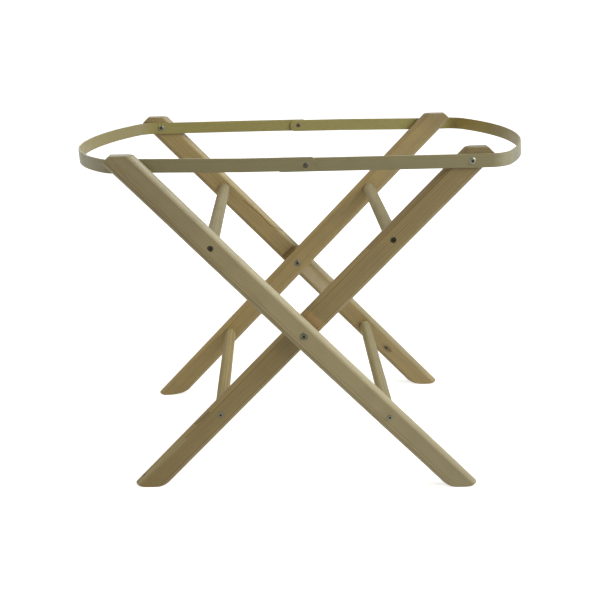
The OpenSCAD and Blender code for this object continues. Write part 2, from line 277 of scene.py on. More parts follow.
def makeKnotGroup():
    # A branch that ran through the board; the rings swell round it.
    tree, given, result = newGroup("woodKnot", [
        ("Vector", "vector", None), ("Centre", "vector", (0, 0, 0)), ("Radius", "value", 3.0),
        ("Swell", "value", 5.0), ("Dark", "color", (0.06, 0.035, 0.015, 1)),
        ("Under", "color", (0.4, 0.35, 0.2, 1)),
    ], [("Color", "color"), ("Push", "value")])
    away = vectorCalc(tree, "SUBTRACT", given["Vector"], given["Centre"])
    length = vectorCalc(tree, "LENGTH", stretch(tree, away, (1.0, 0.12, 0.55)))
    wobble = noise(tree, stretch(tree, given["Vector"], (1 / 3.5, 1 / 9, 1 / 3.5)), detail=2)
    ratio = calc(tree, "DIVIDE", calc(tree, "ADD", length, swing(tree, wobble, 2.6)), given["Radius"])
    core = ramp(tree, ratio, 0.45, 1.1, 1.0, 0.0)
    halo = ramp(tree, ratio, 0.8, 3.6, 0.42, 0.0)
    squared = calc(tree, "MULTIPLY", ratio, ratio)
    near = calc(tree, "EXPONENT", calc(tree, "MULTIPLY", -0.22, squared))
    mask = calc(tree, "MAXIMUM", core, halo)
    feed(tree, blendColor(tree, mask, given["Under"], given["Dark"]), result["Color"])
    feed(tree, calc(tree, "MULTIPLY", near, given["Swell"]), result["Push"])
    return tree


def makeStreakGroup():
    # A line from one point of the board to another, feathered at its sides. It draws pitch and dark wood, and some
    # lists also use it for painted light and painted shadow.
    tree, given, result = newGroup("woodStreak", [
        ("Vector", "vector", None), ("Start", "vector", (0, 0, 0)), ("End", "vector", (0, 0, 100)),
        ("Width", "value", 2.0),
    ], [("Mask", "value")])

    def between(first, second):  # on the face of the board
        return stretch(tree, vectorCalc(tree, "SUBTRACT", first, second), (1, 0, 1))

    run = between(given["End"], given["Start"])
    offset = between(given["Vector"], given["Start"])
    along = vectorCalc(tree, "DOT_PRODUCT", offset, run)
    share = calc(tree, "DIVIDE", along, vectorCalc(tree, "DOT_PRODUCT", run, run), clamp=True)
    length = vectorCalc(tree, "LENGTH", between(offset, scaled(tree, run, share)))
    ragged = noise(tree, stretch(tree, given["Vector"], (1 / 2.5, 1 / 2.5, 1 / 30)), detail=3)
    ratio = calc(tree, "ADD", calc(tree, "DIVIDE", length, given["Width"]), swing(tree, ragged, 0.9))
    feed(tree, ramp(tree, ratio, 0.3, 1.15, 1.0, 0.0), result["Mask"])
    return tree


def makeHandlingGroup():
    # Dust and hand marks: broad soft patches and a few fine specks.
    tree, given, result = newGroup("handling", [
        ("Vector", "vector", None), ("Base", "color", (0.4, 0.35, 0.2, 1)),
        ("Grime", "color", (0.16, 0.13, 0.08, 1)), ("Amount", "value", 0.2), ("Rough", "value", 0.5),
    ], [("Color", "color"), ("Roughness", "value")])
    broad = noise(tree, given["Vector"], scale=0.018, detail=3, roughness=0.55)
    fine = noise(tree, given["Vector"], scale=0.35, detail=2)
    patches = calc(tree, "MULTIPLY", ramp(tree, broad, 0.45, 0.75), given["Amount"])
    fineAmount = calc(tree, "MULTIPLY", given["Amount"], 0.8)
    specks = calc(tree, "MULTIPLY", ramp(tree, fine, 0.66, 0.74), fineAmount)
    mask = calc(tree, "MAXIMUM", patches, specks)
    feed(tree, blendColor(tree, mask, given["Base"], given["Grime"]), result["Color"])
    feed(tree, calc(tree, "ADD", given["Rough"], swing(tree, broad, 0.25)), result["Roughness"])
    return tree


grainGroup = makeGrainGroup()
knotGroup = makeKnotGroup()
streakGroup = makeStreakGroup()
handlingGroup = makeHandlingGroup()
print("shared node groups built")


# Materials

def newMaterial(name):
    material = bpy.data.materials.new(name)
    material.use_nodes = True
    tree = material.node_tree
    return material, tree, tree.nodes["Principled BSDF"]


def inMillimetres(tree, vector, origin=(0, 0, 0)):
    offset = tuple(-perMetre * value for value in origin)
    return stretch(tree, vector, (perMetre, perMetre, perMetre), offset)


def turnedCoordinates(tree, middle, axis, angle):
    # Millimetres from the middle, turned so that Z runs with the grain
    turned = addNode(tree, "ShaderNodeVectorRotate", rotation_type=axis)
    feed(tree, inMillimetres(tree, coordinate(tree, "Object"), middle), turned.inputs["Vector"])
    feed(tree, angle, turned.inputs["Angle"])
    return turned.outputs[0]


def legCoordinates(tree, side):  # X across the leg, Y through it, Z up along it from the crossing
    return turnedCoordinates(tree, (0, 0, crossing.z), "Y_AXIS", -side * legLean)


def dowelCoordinates(tree, centre):
    return turnedCoordinates(tree, (centre.x, 0, centre.z), "X_AXIS", math.pi / 2)


def bandCoordinates(tree):  # from the band's own map: U runs along the bend and V up its face
    place = addNode(tree, "ShaderNodeUVMap", uv_map="alongBand").outputs["UV"]
    place = inMillimetres(tree, place)
    joined = addNode(tree, "ShaderNodeCombineXYZ")
    feed(tree, axisOf(tree, place, "Y"), joined.inputs["X"])
    feed(tree, axisOf(tree, place, "X"), joined.inputs["Z"])
    return joined.outputs[0]


def addStreaks(tree, vector, color, streaks):
    # Each is its points, half its width, its strength and its tone.
    # A last value of -1 or 1 keeps it to the faces that look that way along Y.
    for spots, width, strength, tone, *oneSide in streaks:
        mask = 0.0
        for start, end in zip(spots, spots[1:]):
            part = useGroup(tree, streakGroup, vector=vector, start=(start[0], 0, start[1]),
                            end=(end[0], 0, end[1]), width=width)
            mask = calc(tree, "MAXIMUM", mask, part["Mask"])
        for way in oneSide:
            facing = calc(tree, "MULTIPLY", axisOf(tree, coordinate(tree, "Normal"), "Y"), way)
            mask = calc(tree, "MULTIPLY", mask, ramp(tree, facing, 0.1, 0.5))
        color = blendColor(tree, calc(tree, "MULTIPLY", mask, strength), color, tone)
    return color


def darkenEnds(tree, vector, color, values):
    # Painted shade towards the ends: the three values say how much light is taken off towards the top, towards the
    # foot and over the last of the top
    along = axisOf(tree, vector, "Z")
    light = 1.0
    for (near, far), loss in zip(values["fadeReach"], values["fade"]):
        light = calc(tree, "MULTIPLY", light, ramp(tree, along, near, far, 1.0, 1 - loss))
    # darker end grain on the faces that look up, partly painted shade
    upFacing = ramp(tree, axisOf(tree, coordinate(tree, "Normal"), "Z"), 0.86, 0.96)
    return blendColor(tree, upFacing, scaled(tree, color, light), values["sawnTone"], kind="MULTIPLY")


def addRelief(tree, shader, height, strength, depth):
    bump = addNode(tree, "ShaderNodeBump")
    feed(tree, strength, bump.inputs["Strength"])
    feed(tree, depth, bump.inputs["Distance"])
    feed(tree, height, bump.inputs["Height"])
    feed(tree, bump.outputs[0], shader.inputs["Normal"])


grainNames = ("heart", "ringWidth", "wander", "contrast", "early", "late", "fibre", "patch", "seed")


def woodMaterial(name, coordinates, values):
    material, tree, shader = newMaterial(name)
    vector = coordinates(tree)
    knots = values.get("knots", [])
    push = 0.0
    for centre, radius, swell in knots:
        knot = useGroup(tree, knotGroup, vector=vector, centre=centre, radius=radius, swell=swell)
        push = calc(tree, "ADD", push, knot["Push"])
    grainSettings = {key: values[key] for key in grainNames}
    grain = useGroup(tree, grainGroup, vector=vector, push=push, **grainSettings)
    color = grain["Color"]
    for centre, radius, swell in knots:
        knot = useGroup(tree, knotGroup, vector=vector, centre=centre, radius=radius, under=color)
        color = knot["Color"]
    color = addStreaks(tree, vector, color, values.get("streaks", []))
    # painted shade towards the ends of the legs
    if "fade" in values:
        color = darkenEnds(tree, vector, color, values)
    # painted light and shade on dowels and bands, with the band's own tones
    if "tint" in values:
        color = values["tint"](tree, color)
    worn = useGroup(tree, handlingGroup, vector=vector, base=color, amount=values["grime"],
                    rough=values["rough"])
    feed(tree, worn["Color"], shader.inputs["Base Color"])
    feed(tree, worn["Roughness"], shader.inputs["Roughness"])
    feed(tree, values["gloss"], shader.inputs["Specular IOR Level"])
    addRelief(tree, shader, grain["Height"], values["relief"], values["reliefDepth"])
    return material


pineValues = {
    "early": srgb(176, 164, 128),
    "late": srgb(134, 110, 70),
    "ringWidth": 3.4,
    "wander": 7.0,
    "contrast": 0.55,
    "fibre": 0.20,
    "patch": 0.16,
    "grime": 0.16,
    "rough": 0.52,
    "relief": 0.25,
    "reliefDepth": 0.3 * mm,
    "gloss": 0.5,
    "heart": (-40, 60, 0),
    "seed": 1.0,
    "sawnTone": (0.62, 0.68, 0.76, 1.0),  # darker end grain on the faces that look up, partly painted shade
    "fadeReach": ((60, 460), (-60, -460), (395, 445)),  # where each share of the painted end shade starts and ends
}

pitch = srgb(104, 78, 38)
brown = srgb(128, 98, 52)
pale = srgb(176, 166, 128)

# Knots and streaks are placed in millimetres across the leg and along it from the crossing.
legLooks = {
    "outer_leg_front": {
        "early": srgb(166, 151, 110), "late": srgb(124, 98, 56), "heart": (-58, -290, 0), "seed": 1.0,
        "contrast": 0.5, "fade": (0.22, 0.15, 0.0),
        "streaks": [
            ([(-3.4, 470), (-11.0, 420), (-12.3, 368), (-15.4, 319), (-18.5, 269), (-21, 215)],
             1.2, 0.36, brown),
            ([(-3.9, 455), (-3.9, 400), (-6.5, 372), (-11.0, 330), (-11.5, 290), (-14, 200)],
             1.0, 0.40, brown),
            ([(-8, 460), (-8.5, 420), (-9.5, 380), (-13, 330), (-16, 280), (-18, 230)],
             0.8, 0.35, brown),
            ([(-17, 480), (-17, 440), (-18, 400), (-20, 330)], 1.0, 0.38, brown),
            ([(-13, 470), (-14, 430), (-15.5, 390), (-18, 350)], 0.8, 0.30, brown),
            ([(0.5, 440), (-1.5, 390), (-4, 340), (-8, 280)], 0.8, 0.25, brown),
            ([(-6.4, 150), (-7.1, 121), (-10.5, 99), (-16, 60)], 1.0, 0.32, brown),
            ([(-20, 90), (-19, 40), (-18.5, -30), (-17, -90), (-18, -160), (-20, -230)],
             1.1, 0.32, brown),
            ([(-15, 60), (-16, -10), (-13, -90), (-14, -170)], 1.2, 0.25, pale),
            ([(-21, 475), (-22.5, 300)], 3.6, 0.7, pale),
        ],
    },
    "outer_leg_back": {
        "early": srgb(157, 135, 86), "late": srgb(115, 91, 49), "heart": (-40, 290, 0), "seed": 2.0,
        "contrast": 0.4, "fade": (0.0, 0.0, 0.13),
        "knots": [((-3.0, 217, -322), 3.4, 6.0), ((-7.0, 217, -229), 2.4, 5.0)],
        "streaks": [
            ([(12, 190), (16, 134), (14, 105), (27, 69)], 1.5, 0.8, pitch),
            ([(-2.2, -322), (-1.6, -330), (-0.8, -334)], 4.4, 0.9, srgb(98, 76, 30)),
            ([(-3.0, -317.5), (-2.4, -321.5)], 4.2, 1.0, srgb(38, 35, 26)),
            ([(-2, -229), (10, -229)], 3.0, 0.35, brown),
            # painted light: a broad pale patch on the front face just below the crossing, lifting the shade there
            ([(-4, -26), (-4, -104)], 19, 0.9, srgb(190, 172, 132), -1),
            # painted shadow: a dark bar on the front face beside the inner leg, where that leg casts its shade
            ([(-15, 29.5), (15, 29.5)], 4.4, 0.75, pitch, -1),
            ([(21.5, 60), (21.5, -440)], 4.5, 0.5, srgb(128, 120, 84)),
        ],
    },
    "inner_leg_front": {
        "early": srgb(150, 130, 82), "late": srgb(109, 82, 40), "heart": (60, -160, 0), "seed": 3.0,
        "contrast": 0.65, "fade": (0.14, 0.02, 0.13),
        "streaks": [
            ([(-19.7, -252), (-20.2, -270), (-21.4, -290)], 2.4, 0.75, pitch),
            ([(-24, -449), (-24, -455)], 2.2, 0.9, srgb(62, 56, 46)),
            ([(-17, -330), (-18, -380), (-20, -470)], 4.8, 0.40, pale),
            ([(-20, 440), (-19, 330), (-21, 200)], 3.4, 0.4, pitch),
            ([(21, 470), (21, 350)], 3.6, 0.35, brown),
            # painted light: a warm pale patch just above the crossing, lifting the outer leg's shadow on this face
            ([(-16, 29), (17, 29)], 12, 0.6, srgb(196, 158, 104), -1),
        ],
    },
    "inner_leg_back": {
        "early": srgb(165, 142, 91), "late": srgb(126, 99, 56), "heart": (30, 300, 0), "seed": 4.0,
        "contrast": 0.35, "fade": (0.17, 0.0, 0.2),
        # painted shade: a brown band along the upper-left rounded edge of the upper part
        "streaks": [([(-21, 170), (-21, 440)], 4.5, 0.3, brown)],
    },
}

metalValues = {
    "zinc": {"color": srgb(112, 112, 98), "tarnish": srgb(70, 68, 54), "stain": 0.6, "rough": 0.26,
             "metal": 1.0, "recess": srgb(26, 24, 20)},
    "dullZinc": {"color": srgb(90, 88, 72), "tarnish": srgb(58, 55, 43), "stain": 0.6, "rough": 0.28,
                 "metal": 1.0, "recess": srgb(26, 24, 20)},
    "dark_steel": {"color": srgb(67, 65, 56), "tarnish": srgb(36, 34, 28), "stain": 0.5, "rough": 0.40,
                   "metal": 0.9, "recess": srgb(18, 17, 14)},
    "nylon": {"color": srgb(200, 197, 184), "tarnish": srgb(150, 142, 120), "stain": 0.4, "rough": 0.5,
              "metal": 0.0, "recess": srgb(90, 84, 70)},
}
recessShade = 0.9
scratchStrength = 0.12
scratchDepth = 0.05 * mm


def metalMaterial(name, values):
    material, tree, shader = newMaterial(name)
    vector = inMillimetres(tree, coordinate(tree, "Object"))
    worn = useGroup(tree, handlingGroup, vector=vector, base=values["color"], grime=values["tarnish"],
                    amount=values["stain"], rough=values["rough"])
    # Painted shade inside the hex socket, where the attribute marks it
    inRecess = calc(tree, "MULTIPLY", attribute(tree, "recess"), recessShade)
    feed(tree, blendColor(tree, inRecess, worn["Color"], values["recess"]), shader.inputs["Base Color"])
    feed(tree, worn["Roughness"], shader.inputs["Roughness"])
    feed(tree, values["metal"], shader.inputs["Metallic"])
    scratches = noise(tree, vector, scale=2.4, detail=3, roughness=0.65)
    addRelief(tree, shader, scratches, scratchStrength, scratchDepth)
    return material


metals = {name: metalMaterial(camel(name), values) for name, values in metalValues.items()}
print("materials built")


# Meshes

def smoothFaces(mesh, sharpDegrees):
    mesh.polygons.foreach_set("use_smooth", [True] * len(mesh.polygons))
    mesh.set_sharp_from_angle(angle=math.radians(sharpDegrees))


def finishMesh(name, work, material, sharpDegrees=32):
    bmesh.ops.recalc_face_normals(work, faces=work.faces)
    mesh = bpy.data.meshes.new(name)
    work.to_mesh(mesh)
    work.free()
    smoothFaces(mesh, sharpDegrees)
    piece = bpy.data.objects.new(name, mesh)
    bpy.context.scene.collection.objects.link(piece)
    if material is not None:
        mesh.materials.append(material)
    return piece


def evenShading(piece):
    modifier = piece.modifiers.new("evenShading", "WEIGHTED_NORMAL")
    modifier.keep_sharp = True
    modifier.weight = 60


def standFor(piece, node):
    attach(piece, bodyOfNode[node])
    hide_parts(node)


def bridge(work, ringA, ringB):
    for index in range(len(ringA)):
        following = (index + 1) % len(ringA)
        work.faces.new((ringA[index], ringA[following], ringB[following], ringB[index]))


def closedTube(work, rings):
    for ringA, ringB in zip(rings, rings[1:]):
        bridge(work, ringA, ringB)
    work.faces.new(rings[0])
    work.faces.new(rings[-1])


def hexShare(angle):  # how far a hexagon's edge lies from its centre, as a share of its corner
    return math.cos(math.pi / 6) / math.cos(angle % (math.pi / 3) - math.pi / 6)


def turnedMesh(work, profile, centre, outward, segments=48, recessRadius=0.0):
    # profile goes from tip to tip as (radius, depth), with a last "hex" where it is a hexagon;
    # depth grows outward along Y
    rings = []
    recessLayer = work.verts.layers.float.new("recess") if recessRadius else None
    for radius, depth, *hexed in profile:
        y = centre.y + outward * depth
        if radius == 0:
            rings.append([work.verts.new((centre.x, y, centre.z))])
            continue
        ring = []
        for index in range(segments):
            angle = 2 * math.pi * index / segments
            reach = radius * (hexShare(angle) if hexed else 1)
            place = (centre.x + reach * math.cos(angle), y, centre.z + reach * math.sin(angle))
            ring.append(work.verts.new(place))
        rings.append(ring)
    for ringA, ringB in zip(rings, rings[1:]):
        if len(ringA) == 1 or len(ringB) == 1:
            tip, ring = (ringA[0], ringB) if len(ringA) == 1 else (ringB[0], ringA)
            for index in range(segments):
                work.faces.new((tip, ring[index], ring[(index + 1) % segments]))
        else:
            bridge(work, ringA, ringB)
    if recessLayer is None:
        return
    for vertex in work.verts:
        away = math.hypot(vertex.co.x - centre.x, vertex.co.z - centre.z)
        above = outward * (vertex.co.y - centre.y) > 0.1 * mm
        vertex[recessLayer] = 1.0 if above and away < recessRadius else 0.0


def cutAway(piece, cutters, sharpDegrees):
    # cutters is a list of profiles, each with its centre and direction
    work = bmesh.new()
    for profile, centre, outward in cutters:
        turnedMesh(work, profile, centre, outward, segments=40)
    tool = finishMesh("cutter", work, None)
    modifier = piece.modifiers.new("holes", "BOOLEAN")
    modifier.operation = "DIFFERENCE"
    modifier.solver = "EXACT"
    modifier.object = tool
    evaluated = piece.evaluated_get(bpy.context.evaluated_depsgraph_get())
    cut = bpy.data.meshes.new_from_object(evaluated)
    piece.modifiers.remove(modifier)
    old = piece.data
    piece.data = cut
    bpy.data.meshes.remove(old)
    bpy.data.objects.remove(tool)
    smoothFaces(cut, sharpDegrees)


# Legs: planed strip with eased arrises, a clipped top and a rounded foot

legValues = {
    "width": 49.5 * mm,
    "reach": 470 * mm,         # from the crossing to the squared end
    "edgeRadius": 10.15 * mm,  # of the arc that rounds each long side from face to face
    "edgeSteps": 8,
    "edgeStretch": 1.12,       # how much wider than deep that rounding is
    "edgePower": 1.75,         # 2 for a round arc, less for one that turns faster at both ends
    "arris": 0.3 * mm,         # softening where it leaves the face
    "endEase": 0.8 * mm,       # small easing of the sawn ends and the sole
    "cornerRadius": 2.0 * mm,
    "toeRound": 7 * mm,
    "soleSteps": 8,
    "sideSteps": 12,
    "bowReach": 300 * mm,
    "faceLayer": 0.12 * mm,    # depth of the first layer under each face
    "bowLimit": -0.6,          # as a share of the bow, beyond its reach
    "sharpDegrees": 13,
    "socketPlay": 0.1 * mm,    # round each dowel
    "endPlay": 0.2 * mm,       # past the end of each dowel
    "overrun": 1 * mm,         # of each cutter beyond the leg's faces
    "headPlay": 0.15 * mm,     # round each sunk screw head
    "screwHole": 2.1 * mm,     # radius
    "sunk": 3 * mm,            # depth of the upper counterbores
    "bores": {"outer": 3.1 * mm, "inner": 4.58 * mm},  # radius at the crossing
    # per leg: the sole's middle from the foot's centre line, its flat, its radii at heel and toe
    "soles": {
        "outer_leg_front": (5.4 * mm, 10.4 * mm, 59 * mm, 70 * mm),
        "outer_leg_back": (0.6 * mm, 6 * mm, 84 * mm, 80 * mm),
        "inner_leg_front": (5.4 * mm, 10.4 * mm, 60 * mm, 76 * mm),
        "inner_leg_back": (-10.9 * mm, 4 * mm, 126 * mm, 60 * mm),
    },
    # per leg: how far its top lies above the nominal one, extra width, bow, sideways shift, extra reach
    "own": {
        "outer_leg_front": (2.6 * mm, 0.4 * mm, -1.0 * mm, 0.0, 5.3 * mm),
        "outer_leg_back": (-1.0 * mm, 1.0 * mm, 0.0, 0.5 * mm, 0.0),
        "inner_leg_front": (0.0, 1.2 * mm, 0.0, 0.6 * mm, 0.0),
        "inner_leg_back": (-2.5 * mm, 0.0, 0.0, 0.0, 0.0),
    },
}


def legPoint(along, across=0.0):  # on a leg that leans right; across is positive towards the upper left
    return Vector((along * leanSin - across * leanCos, crossing.z + along * leanCos + across * leanSin))


def easedCorner(before, corner, after, radius, steps=8):
    toBefore = (before - corner).normalized()
    toAfter = (after - corner).normalized()
    start = corner + toBefore * radius
    end = corner + toAfter * radius
    points = []
    for index in range(steps + 1):
        share = index / steps
        points.append(start * (1 - share) ** 2 + corner * (2 * share * (1 - share)) + end * share ** 2)
    return points


def legOutline(values, topHeight, sideInset, endInset):
    # The outline with its long sides and its ends moved inward; it always has the same number of points
    half = values["width"] / 2 - sideInset
    reach = values["reach"] - endInset
    top = topHeight - endInset
    soleInset, soleFlat, heelRadius, toeRadius = values["sole"]
    soleX = soleInset - crossing.z * math.tan(legLean)
    heelX = soleX + soleFlat / 2
    toeX = soleX - soleFlat / 2
    heelArm = heelRadius - endInset
    toeArm = toeRadius - endInset
    heelCut = (half - heelX * leanCos + (heelRadius - crossing.z) * leanSin) / heelArm
    toeCut = (half + toeX * leanCos - (toeRadius - crossing.z) * leanSin) / toeArm
    heelAngle = math.asin(heelCut) - legLean
    toeAngle = math.asin(toeCut) + legLean

    def onHeel(angle):
        return Vector((heelX + heelArm * math.sin(angle), heelRadius - heelArm * math.cos(angle)))

    def onToe(angle):
        return Vector((toeX - toeArm * math.sin(angle), toeRadius - toeArm * math.cos(angle)))

    def onWay(start, end):
        steps = values["sideSteps"]
        return [start.lerp(end, index / steps) for index in range(1, steps)]

    squareEnd = legPoint(reach, -half)
    levelStart = legPoint(reach, (top - crossing.z - reach * leanCos) / leanSin)
    levelEnd = legPoint((top - crossing.z - half * leanSin) / leanCos, half)
    toeTip = onToe(toeAngle)
    heelTip = onHeel(heelAngle)
    corner = values["cornerRadius"]
    soleSteps = values["soleSteps"]
    points = easedCorner(heelTip, squareEnd, levelStart, corner)
    points += easedCorner(squareEnd, levelStart, levelEnd, corner)
    points += easedCorner(levelStart, levelEnd, toeTip, corner)
    toeBend = easedCorner(levelEnd, toeTip, onToe(toeAngle * 0.5), values["toeRound"])
    points += onWay(points[-1], toeBend[0])
    points += toeBend
    keptAngle = toeAngle - values["toeRound"] / toeRadius * 1.15
    points += [onToe(keptAngle * index / soleSteps) for index in range(soleSteps - 1, -1, -1)]
    points += [onHeel(heelAngle * index / soleSteps) for index in range(soleSteps + 1)]
    points += onWay(points[-1], points[0])
    return points


def legLayers(values, thickness):
    # (depth under the face, inset of the long sides, inset of the ends), down to the strip's middle
    half = thickness / 2
    radius = values["edgeRadius"]
    power = values["edgePower"]
    ease = values["endEase"]
    entry = math.acos(half / radius)
    depths = [0.0, values["faceLayer"], ease * 0.45, ease]
    for index in range(1, values["edgeSteps"] + 1):
        angle = entry + (math.pi / 2 - entry) * index / values["edgeSteps"]
        depths.append(half - radius * math.cos(angle))
    layers = []
    for depth in sorted(depths):
        height = 1 - ((half - depth) / radius) ** power
        side = values["edgeStretch"] * radius * (1 - height ** (1 / power))
        end = ease - math.sqrt(ease ** 2 - max(ease - depth, 0) ** 2)
        if depth == 0:
            side += values["arris"]
        layers.append((depth, side, end))
    return layers


def legMesh(name, side, yLow, yHigh, values, topHeight, material):
    layers = legLayers(values, yHigh - yLow)
    places = [(yLow + depth, *insets) for depth, *insets in layers]
    places += [(yHigh - depth, *insets) for depth, *insets in reversed(layers[:-1])]
    work = bmesh.new()
    rings = []
    for y, sideInset, endInset in places:
        ring = []
        for point in legOutline(values, topHeight, sideInset, endInset):
            along = point.x * leanSin + (point.y - crossing.z) * leanCos
            bend = max(1 - (along / values["bowReach"]) ** 2, values["bowLimit"])
            bent = values["shift"] + values["bow"] * bend
            place = point + Vector((leanCos, -leanSin)) * bent * side
            ring.append(work.verts.new((side * place.x, y, place.y)))
        rings.append(ring)
    closedTube(work, rings)
    return finishMesh(name, work, material, values["sharpDegrees"])


def legCutters(node, values, inside, outside, depthSide):
    frameName = node.split("_")[0]
    before = inside - values["overrun"]
    beyond = outside + values["overrun"]
    hole = values["screwHole"]
    cutters = []
    for level in ("upper", "lower"):
        dowelLow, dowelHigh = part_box(frameName + "_" + level + "_dowel")
        screwLow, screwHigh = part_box(frameName + "_" + level + "_screw_front")
        axis = (dowelLow + dowelHigh) / 2
        socket = (dowelHigh.x - dowelLow.x) / 2 + values["socketPlay"]
        floor = dowelHigh.y + values["endPlay"]
        profile = [(0, before), (socket, before), (socket, floor), (hole, floor)]
        if level == "upper":
            head = (screwHigh.x - screwLow.x) / 2 + values["headPlay"]
            seat = outside - values["sunk"]
            profile += [(hole, seat), (head, seat), (head, beyond)]
        else:
            profile += [(hole, beyond)]
        profile += [(0, beyond)]
        cutters.append((profile, Vector((axis.x, 0, axis.z)), depthSide))
    bore = values["bores"][frameName]
    profile = [(0, before), (bore, before), (bore, beyond), (0, beyond)]
    cutters.append((profile, Vector((crossing.x, 0, crossing.z)), depthSide))
    return cutters


def makeLeg(node, side, depthSide):
    low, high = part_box(node)
    looks = {**pineValues, **legLooks[node]}
    material = woodMaterial(camel(node) + "Pine", lambda tree: legCoordinates(tree, side), looks)
    topTrim, extraWidth, bow, shift, extraReach = legValues["own"][node]
    values = {**legValues, "sole": legValues["soles"][node], "bow": bow, "shift": shift}
    values["width"] += extraWidth
    values["reach"] += extraReach
    piece = legMesh(camel(node), side, low.y, high.y, values, high.z + topTrim, material)
    outside = high.y if depthSide > 0 else -low.y
    inside = low.y if depthSide > 0 else -high.y
    cutAway(piece, legCutters(node, values, inside, outside, depthSide), values["sharpDegrees"])
    evenShading(piece)
    standFor(piece, node)


for legNode, legSide in (("outer_leg", -1), ("inner_leg", 1)):
    makeLeg(legNode + "_front", legSide, -1)
    makeLeg(legNode + "_back", legSide, 1)
print("legs made")


# Dowels

dowelValues = {
    "chamfer": 0.8 * mm,
    "rings": 14,
    "uneven": 0.12 * mm,  # how far the turning wavers along it
    "waves": 2,
    "looks": {"early": srgb(136, 122, 83), "late": srgb(109, 89, 52), "contrast": 0.6, "ringWidth": 2.6,
              "wander": 3.0, "heart": (-22, 14, 0), "fibre": 0.22, "gloss": 0.18, "rough": 0.62},
    # how much lighter or darker each one is than those colours
    "tones": {"outer_upper": (0.99, 1.00, 1.14), "inner_upper": (0.78, 0.80, 0.86),
              "outer_lower": (1.06, 1.10, 1.26), "inner_lower": (0.95, 0.90, 0.84)},
    # painted light and shade: how light the left and the right side of each one are painted
    "sides": {"outer_upper": (1.0, 1.04), "inner_upper": (1.5, 0.88),
              "outer_lower": (1.45, 0.97), "inner_lower": (1.14, 1.6)},
}


# Painted light and shade: the colour is lighter on one side of the dowel than on the other
def paintedDowelSideLight(tree, color, centre, radius, sides):
    across = axisOf(tree, coordinate(tree, "Object"), "X")
    return scaled(tree, color, ramp(tree, across, centre.x - radius, centre.x + radius, *sides))


def makeDowel(node, seed):
    low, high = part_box(node)
    centre = (low + high) / 2
    radius = (high.x - low.x) / 2
    half = (high.y - low.y) / 2
    shortName = node.removesuffix("_dowel")
    sides = dowelValues["sides"][shortName]
    looks = {**pineValues, **dowelValues["looks"], "seed": seed,
             "tint": lambda tree, color: paintedDowelSideLight(tree, color, centre, radius, sides)}
    for name in ("early", "late"):
        toned = [value * share for value, share in zip(looks[name], dowelValues["tones"][shortName])]
        looks[name] = (*toned, 1.0)
    material = woodMaterial(camel(node) + "Pine", lambda tree: dowelCoordinates(tree, centre), looks)
    chamfer = dowelValues["chamfer"]
    profile = [(0, -half), (radius - chamfer, -half), (radius, chamfer - half)]
    for index in range(1, dowelValues["rings"]):
        share = index / dowelValues["rings"]
        angle = 2 * math.pi * dowelValues["waves"] * share + seed
        waver = dowelValues["uneven"] * 0.5 * (1 - math.cos(angle))
        profile.append((radius - waver, -half + 2 * half * share))
    profile += [(radius, half - chamfer), (radius - chamfer, half), (0, half)]
    work = bmesh.new()
    turnedMesh(work, profile, centre, 1, segments=64)
    standFor(finishMesh(camel(node), work, material), node)


for dowelSeed, dowelNode in enumerate(("outer_upper", "outer_lower", "inner_upper", "inner_lower")):
    makeDowel(dowelNode + "_dowel", 11.0 + dowelSeed)
print("dowels made")


# Hoop: two halves of thin band, bent to three-centred arches

hoopValues = {
    "thickness": 2.8 * mm,
    "lapRadius": 14 * mm,
    "arris": 0.5 * mm,
    "cornerSteps": 26,
    "endSteps": 72,
    "lapSteps": 40,
    "left": {
        "cornerRadius": 60 * mm, "bendPast": 7.2 * mm,
        "frontLap": 18 * mm, "backLap": 18 * mm,       # past its rivets
        "frontLift": 5.3 * mm, "backLift": -1.0 * mm,  # of its straight lengths
        "droop": 5.8 * mm,                             # how far its end hangs
        "twist": 1.2 * mm,                             # how far it is up at the back, down at the front
        "lean": 0.0,                                   # how far its lower edge stands out
        "seed": 21.0,
        # painted shade where the band turns towards the lamps, outside and inside
        "turnedTones": ((0.61, 0.63, 0.66, 1.0), (0.76, 0.68, 0.52, 1.0)),
    },
    "right": {
        "cornerRadius": 47 * mm, "bendPast": 34.0 * mm,
        "frontLap": 52 * mm, "backLap": 18 * mm,
        "frontLift": 0.0, "backLift": -3.4 * mm,
        "droop": -2.5 * mm,
        "twist": 0.0,
        "lean": 3.2 * mm,
        "seed": 24.0,
        "turnedTones": ((0.70, 0.665, 0.63, 1.0), (0.84, 0.71, 0.32, 1.0)),
        # and painted shade at the very end, with the distances from the middle over which they come in
        "tipTones": ((0.435, 0.42, 0.415, 1.0), (0.588, 0.497, 0.16, 1.0)),
        "tipReach": ((352 * mm, 385 * mm), (392 * mm, 422 * mm)),
    },
    # tones where the band runs straight, outside and inside; the yellower inside is partly painted warm bounce
    # light
    "straightTones": ((0.73, 0.70, 0.655, 1.0), (0.85, 0.805, 0.50, 1.0)),
    "turnedGain": 1.6,       # how fast the turned tones come in round the bend
    # the cut ends: darker end grain, with a painted shadow in the gap at each lap
    "endTone": srgb(104, 80, 40),
    "endShade": 0.8,
    "endReach": 1.4 * mm,
    "edgeSlip": 0.4,         # how far the grain shifts across the edges, as a share of their depth
    "riveted": 0.35,         # the share of each lift that is left near the rivets
    "looks": {"early": srgb(160, 152, 113), "late": srgb(136, 121, 78), "contrast": 0.18,
              "ringWidth": 6.0, "wander": 5.0, "heart": (-70, 8, 0), "fibre": 0.16, "patch": 0.16,
              "grime": 0.10, "gloss": 0.4, "rough": 0.46},
}


